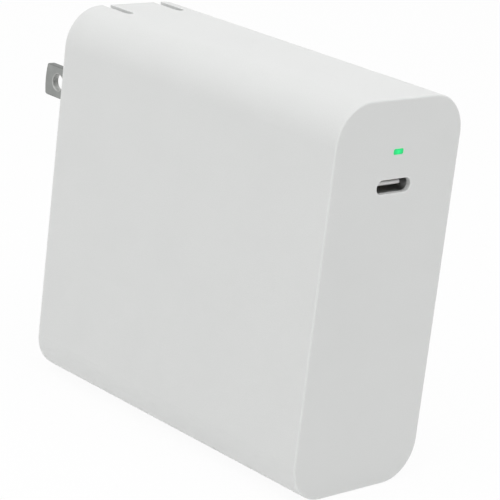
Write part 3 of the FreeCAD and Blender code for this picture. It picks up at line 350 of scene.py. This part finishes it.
def dress_inside():
    """The parts that the closed housing hides, in the usual finishes of such parts."""
    dress(plain_part("black_plastic", linear(34, 34, 36)),
          "plug_retainer", "transformer_bobbin", "boost_inductor_bobbin", "line_choke_seat",
          "mains_fuse")
    dress(drawn_metal("fastener_steel", linear(170, 170, 172), "Y"), "retainer_screws")
    dress(drawn_metal("spring_bronze", linear(200, 150, 96), "Z"),
          "line_contact_spring", "neutral_contact_spring", "detent_spring")
    dress(plain_part("board_mask", linear(28, 92, 54), roughness=0.35, grain=1.2),
          "main_board", "port_board", "board_link")
    dress(plain_part("chip_epoxy", linear(38, 38, 40), grain=0.2),
          "port_controller", "port_switch", "isolating_coupler", "bridge_rectifier",
          "boost_transistor", "bridge_transistor", "rectifier_transistor", "primary_controller")
    dress(drawn_metal("spreader_sheet", linear(204, 206, 208), "Z"),
          "left_heat_spreader", "right_heat_spreader")
    dress(plain_part("insulating_film", linear(226, 212, 160), roughness=0.3, depth=0.004),
          "left_insulating_sheet", "right_insulating_sheet")
    dress(plain_part("thermal_silicone", linear(150, 160, 178), roughness=0.8),
          "left_thermal_pad", "right_thermal_pad")
    dress(plain_part("sintered_ferrite", linear(62, 62, 64), roughness=0.7, grain=0.15),
          "transformer_core", "boost_inductor_core", "line_choke_core")
    dress(drawn_metal("winding_copper", linear(196, 116, 66), "Y", depth=0.03),
          "transformer_winding", "boost_inductor_winding", "line_choke_winding",
          "neutral_choke_winding")
    dress(plain_part("can_sleeve", linear(44, 46, 52), metallic=0.4, roughness=0.35),
          "lower_bulk_capacitor", "upper_bulk_capacitor", "first_output_capacitor",
          "second_output_capacitor", "third_output_capacitor", "supply_capacitor")
    dress(plain_part("film_case", linear(206, 168, 56), roughness=0.35), "mains_filter_capacitor")
    dress(plain_part("epoxy_coating", linear(52, 84, 158), roughness=0.3, grain=0.8),
          "surge_absorber", "inrush_limiter", "safety_capacitor")
    dress(plain_part("wire_silicone", linear(150, 34, 30), roughness=0.6, grain=0.3),
          "line_wire", "neutral_wire")


# Blades: stamped plates with rounded edges, a crowned tip, a deburred hole and a narrow tail.

EDGE_ROUND = 0.2 * MM
EDGE_STEPS = 2
TIP_START = 1.0 * MM
TIP_CORNER = Vector((0.24, 0.5)) * MM
CORNER_STEPS = 6
CROWN_STEPS = 12
HOLE_REACH = 11.9 * MM
HOLE_RADIUS = 1.6 * MM
HOLE_STEPS = 48
TAIL_LENGTH = 3.8 * MM
TAIL_LOW = 1.475 * MM
TAIL_HIGH = 3.275 * MM
TAIL_CORNER = 0.5 * MM
# A face whose normal has less than this along X belongs to an edge or to the hole.
FLAT_SIDE = 0.999
# Material slots of a blade. Its flat sides keep the first.
EDGE_SLOT = 1
HOLE_SLOT = 2


def eased(start, pull, end, steps):
    """Points from start to end along a curve that bends towards the pull."""
    shares = [index / steps for index in range(steps + 1)]
    return [start.lerp(pull, share).lerp(pull.lerp(end, share), share) for share in shares]


def blade_outline(low, high):
    """The side view of a blade as (y, z) points, between the corners of its box."""
    corner = Vector((high.x - TIP_CORNER.x, high.y))
    upper = eased(Vector((high.x - TIP_START, high.y)), corner,
                  Vector((corner.x, high.y - TIP_CORNER.y)), CORNER_STEPS)
    lower = [Vector((point.x, low.y + high.y - point.y)) for point in reversed(upper)]
    # As far past the box as the ends of the crown lie inside it, so that the crown touches the box.
    pull = Vector((high.x + TIP_CORNER.x, (low.y + high.y) / 2))
    crown = eased(upper[-1], pull, lower[0], CROWN_STEPS)
    root, tail_end = low.x + TAIL_LENGTH, low.x + TAIL_CORNER
    tail_low, tail_high = low.y + TAIL_LOW, low.y + TAIL_HIGH
    tail = [(root, low.y), (root, tail_low), (tail_end, tail_low), (low.x, tail_low + TAIL_CORNER),
            (low.x, tail_high - TAIL_CORNER), (tail_end, tail_high), (root, tail_high),
            (root, high.y)]
    return upper + crown[1:-1] + lower + [Vector(point) for point in tail]


def add_loop(curve, points):
    spline = curve.splines.new("POLY")
    spline.points.add(len(points) - 1)
    for point, place in zip(spline.points, points):
        point.co = (place.x, place.y, 0, 1)
    spline.use_cyclic_u = True


def add_blade(node, hole_y, materials):
    low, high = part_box(node)
    curve = bpy.data.curves.new(node + "_outline", "CURVE")
    curve.dimensions = "2D"
    curve.fill_mode = "BOTH"
    curve.extrude = (high.x - low.x) / 2 - EDGE_ROUND
    curve.bevel_depth = EDGE_ROUND
    curve.bevel_resolution = EDGE_STEPS
    curve.offset = -EDGE_ROUND
    add_loop(curve, blade_outline(low.yz, high.yz))
    hole = Vector((hole_y, (low.z + high.z) / 2))
    turns = [index * math.tau / HOLE_STEPS for index in range(HOLE_STEPS)]
    add_loop(curve, [hole + Vector((math.cos(turn), math.sin(turn))) * HOLE_RADIUS
                     for turn in turns])
    drawn = bpy.data.objects.new(node + "_outline", curve)
    mesh = bpy.data.meshes.new_from_object(drawn)
    bpy.data.objects.remove(drawn)
    # The curve lies in its own XY plane, which becomes the YZ plane through the blade's middle.
    middle = (low.x + high.x) / 2
    mesh.transform(Matrix(((0, 0, 1, middle), (1, 0, 0, 0), (0, 1, 0, 0), (0, 0, 0, 1))))
    mesh.materials.clear()
    for material in materials:
        mesh.materials.append(material)
    for face in mesh.polygons:
        face.use_smooth = True
        if abs(face.normal.x) < FLAT_SIDE:
            in_hole = (face.center.yz - hole).length < HOLE_RADIUS + EDGE_ROUND
            face.material_index = HOLE_SLOT if in_hole else EDGE_SLOT
    piece = bpy.data.objects.new(node + "_plate", mesh)
    scene.collection.objects.link(piece)
    flat = piece.modifiers.new("flat_sides", "WEIGHTED_NORMAL")
    flat.keep_sharp = True
    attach(piece, "plug")
    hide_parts(node)


def add_blades():
    face = drawn_metal("blade_face", BLADE, "Y", spread=0.1, depth=0.01)
    # The edges are rougher, and painted darker as shade.
    edge = drawn_metal("blade_edge_painted_shade", BLADE_EDGE_PAINTED_SHADE, "X", roughness=0.55)
    # The hole wall is painted lighter: a painted reflection of the white surround.
    hole_reflection = drawn_metal("blade_hole_painted_reflection", BLADE_HOLE_PAINTED_REFLECTION, "X", roughness=0.55)
    hole_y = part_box("rear_cover")[1].y + HOLE_REACH
    for node in ("left_blade", "right_blade"):
        add_blade(node, hole_y, (face.material, edge.material, hole_reflection.material))


# Studio: a white floor, a white surround and soft lamps.

FLOOR_REACH = 3.0
FLOOR_GREY = 0.93
FLOOR_GRAIN = 3.0
FLOOR_SPREAD = 0.01
FLOOR_ROUGHNESS = 0.9
# The shares of plain white in the floor, as the background shows it and as it lights the object.
FLOOR_GLOW = 0.92
FLOOR_LIGHT = 0.3
WORLD_LEVEL = 0.67
# Each lamp: place in metres, side in metres, power in watts.
LAMPS = {
    "top_lamp": (Vector((-0.10, -0.15, 0.90)), 0.9, 3.05),
    "left_lamp": (Vector((-0.79, -0.04, 0.70)), 0.6, 1.08),
}


def background_rays(tree):
    """1 for rays from the camera and for those mirrored or let through, 0 for all others."""
    path = tree.nodes.new("ShaderNodeLightPath")
    total = path.outputs["Is Camera Ray"]
    for name in ("Is Glossy Ray", "Is Transmission Ray"):
        more = tree.nodes.new("ShaderNodeMath")
        more.operation = "MAXIMUM"
        tree.links.new(total, more.inputs[0])
        tree.links.new(path.outputs[name], more.inputs[1])
        total = more.outputs["Value"]
    return total


def add_world():
    world = bpy.data.worlds.new("studio")
    scene.world = world
    world.use_nodes = True
    tree = world.node_tree
    background = tree.nodes["Background"]
    background.inputs["Color"].default_value = (1, 1, 1, 1)
    level = tree.nodes.new("ShaderNodeMapRange")
    level.inputs["To Min"].default_value = WORLD_LEVEL
    level.inputs["To Max"].default_value = 1.0
    tree.links.new(background_rays(tree), level.inputs["Value"])
    tree.links.new(level.outputs["Result"], background.inputs["Strength"])


def add_floor():
    mesh = bpy.data.meshes.new("floor")
    level = cad_box[0][2]
    corners = [(x * FLOOR_REACH, y * FLOOR_REACH, level)
               for x, y in ((-1, -1), (1, -1), (1, 1), (-1, 1))]
    mesh.from_pydata(corners, [], [(0, 1, 2, 3)])
    floor = bpy.data.objects.new("floor", mesh)
    scene.collection.objects.link(floor)
    made = Nodes("floor_paper")
    made.shader.inputs["Roughness"].default_value = FLOOR_ROUGHNESS
    grey = (FLOOR_GREY, FLOOR_GREY, FLOOR_GREY, 1)
    made.link(made.ramp(made.noise(FLOOR_GRAIN), *between(grey, FLOOR_SPREAD)),
              made.shader.inputs["Base Color"])
    glow = made.add("ShaderNodeEmission")
    mix = made.add("ShaderNodeMixShader")
    made.link(made.span(background_rays(made.tree), FLOOR_LIGHT, FLOOR_GLOW), mix.inputs["Fac"])
    made.link(made.shader.outputs["BSDF"], mix.inputs[1])
    made.link(glow.outputs["Emission"], mix.inputs[2])
    made.link(mix.outputs["Shader"], made.output.inputs["Surface"])
    mesh.materials.append(made.material)


def add_lamps():
    middle = (Vector(cad_box[0]) + Vector(cad_box[1])) / 2
    for name, (place, side, power) in LAMPS.items():
        data = bpy.data.lights.new(name, "AREA")
        data.shape = "SQUARE"
        data.size = side
        data.energy = power
        lamp = bpy.data.objects.new(name, data)
        scene.collection.objects.link(lamp)
        lamp.location = place
        lamp.rotation_euler = (middle - place).to_track_quat("-Z", "Y").to_euler()


add_camera()
dress_outside()
dress_inside()
add_blades()
add_world()
add_floor()
add_lamps()
scene.view_settings.view_transform = "Standard"
